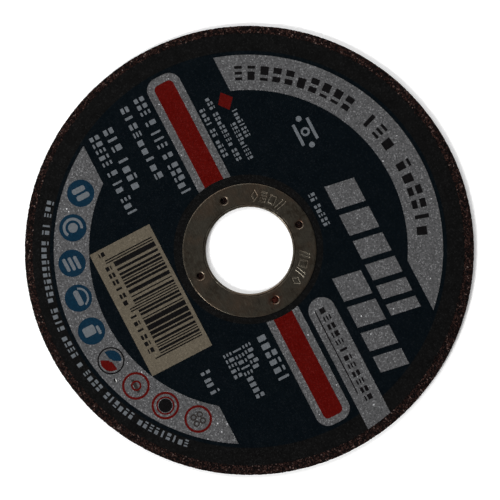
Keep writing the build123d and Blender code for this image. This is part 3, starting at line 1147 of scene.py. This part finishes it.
class WHEEL_OT_grain(Operator):
    """Builds the grain body with its pitted rim, over the CAD disc"""
    bl_idname = "wheel.grain"
    bl_label = "Grain body"

    def execute(self, context):
        settings = context.scene.wheel_grain
        core_points, faces, seat_edge, back_edge = cad_mesh_without_rim()
        crust_points, crust_faces, first_row, last_row = grain_crust(settings)
        shift = len(core_points)
        faces += [tuple(i + shift for i in face) for face in crust_faces]
        mound_points, mound_faces = pit_mounds(settings, shift + len(crust_points))
        faces += mound_faces
        points = np.concatenate([core_points, crust_points, mound_points])
        faces += zip_loops(points, seat_edge, first_row + shift)
        faces += zip_loops(points, last_row + shift, back_edge)
        piece = new_piece("grain_body", points, faces, grain_material(settings))
        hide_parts("abrasive_disc")
        return {"FINISHED"}


class WHEEL_OT_net(Operator):
    """Weaves the glass net in the back"""
    bl_idname = "wheel.net"
    bl_label = "Glass net"

    def execute(self, context):
        settings = context.scene.wheel_net
        points, faces = woven_net(settings)
        piece = new_piece("woven_net", points, faces, yarn_material(settings), smooth=True)
        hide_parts("glass_net")
        return {"FINISHED"}


class WHEEL_OT_ring(Operator):
    """Draws the steel ring with drawn-in holes and struck marks"""
    bl_idname = "wheel.ring"
    bl_label = "Steel ring"

    def execute(self, context):
        settings = context.scene.wheel_ring
        points, faces = ring_surface(settings)
        piece = new_piece("steel_ring", points, faces, steel_material(settings), smooth=True)
        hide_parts("bore_ring")
        return {"FINISHED"}


class WHEEL_OT_label(Operator):
    """Gives paper and inks of the label their finish"""
    bl_idname = "wheel.label"
    bl_label = "Label"

    def execute(self, context):
        inks = context.scene.wheel_print
        # After the colour come mottle, sparkle, roughness, shine and, for silver, glints
        for node, name, colour, *finish in (
                ("label_paper", "black_paper", inks.paper, 0.34, 0.2, 0.42, 0.03),
                ("navy_print", "navy_ink", inks.navy, 0.22, 0.12, 0.4, 0.03),
                ("silver_print", "silver_ink", inks.silver, 0.36, 0.75, 0.42, 0.1, 1.0),
                ("red_print", "red_ink", inks.red, 0.2, 0.16, 0.42, 0.04),
                ("cream_print", "cream_ink", inks.cream, 0.17, 0.2, 0.5, 0.08)):
            dress(node, print_material(name, colour, *finish))
        return {"FINISHED"}


class WHEEL_OT_marks(Operator):
    """Prints the small marks: lines of blocks, bars and round badges"""
    bl_idname = "wheel.marks"
    bl_label = "Small marks"

    def execute(self, context):
        inks = context.scene.wheel_print
        pick = np.random.default_rng(inks.seed)
        sheets = {ink: MarkSheet(inks.film) for ink in ("pale", "dark", "grey", "torn", "blue", "red")}
        print_field(sheets, pick)
        print_bands(sheets, pick)
        print_panel(sheets, pick)
        print_badges(sheets)
        for name, ink, slot in (("pale_marks", "pale", "silver_ink"), ("dark_marks", "dark", "black_ink"),
                                ("grey_marks", "grey", "black_ink"), ("torn_edge", "torn", "silver_ink"),
                                ("blue_badges", "blue", "navy_ink"), ("red_badges", "red", "red_ink")):
            colour = getattr(inks, ink)
            material = print_material(name, colour, mottle=0.16, sparkle=0.1, rough=0.45, shine=0.06)
            piece = new_piece(name, sheets[ink].vertices, sheets[ink].faces, material)
            if ink == "dark":
                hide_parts("black_print")
        return {"FINISHED"}


class WHEEL_OT_stage(Operator):
    """Sets floor, soft light and the camera over the wheel"""
    bl_idname = "wheel.stage"
    bl_label = "Stage"

    def execute(self, context):
        settings = context.scene.wheel_stage
        stage_floor(settings)
        stage_world()
        stage_lamps(settings.roll)
        stage_camera(settings)
        context.scene.view_settings.view_transform = "Standard"
        return {"FINISHED"}


class WHEEL_PT_panel(Panel):
    """Sizes, colours and build steps of the wheel"""
    bl_label = "Cut-off wheel"
    bl_idname = "WHEEL_PT_panel"
    bl_space_type = "VIEW_3D"
    bl_region_type = "UI"
    bl_category = "Wheel"

    def draw(self, context):
        for name, _, *operators in STEPS:
            box = self.layout.box()
            for operator in operators:
                box.operator(operator.bl_idname)
            settings = getattr(context.scene, name)
            for key in settings.__annotations__:
                box.prop(settings, key)


# The scene's settings by name, each with its class and the operators that use it
STEPS = (
    ("wheel_grain", GrainSettings, WHEEL_OT_grain),
    ("wheel_net", NetSettings, WHEEL_OT_net),
    ("wheel_ring", RingSettings, WHEEL_OT_ring),
    ("wheel_print", PrintSettings, WHEEL_OT_label, WHEEL_OT_marks),
    ("wheel_stage", StageSettings, WHEEL_OT_stage),
)
CLASSES = [item for _, *items in STEPS for item in items] + [WHEEL_PT_panel]


def register():
    """Registers all classes and gives the scene its settings."""
    for item in CLASSES:
        bpy.utils.register_class(item)
    for name, group, *_ in STEPS:
        setattr(bpy.types.Scene, name, PointerProperty(type=group))


def unregister():
    """Takes the settings and classes away again."""
    for name, *_ in STEPS:
        delattr(bpy.types.Scene, name)
    for item in reversed(CLASSES):
        bpy.utils.unregister_class(item)


def main():
    """Builds the wheel and its stage."""
    register()
    bpy.ops.wheel.grain()
    bpy.ops.wheel.net()
    bpy.ops.wheel.ring()
    bpy.ops.wheel.label()
    bpy.ops.wheel.marks()
    bpy.ops.wheel.stage()
    bpy.context.view_layer.update()


if __name__ == "__main__":
    main()
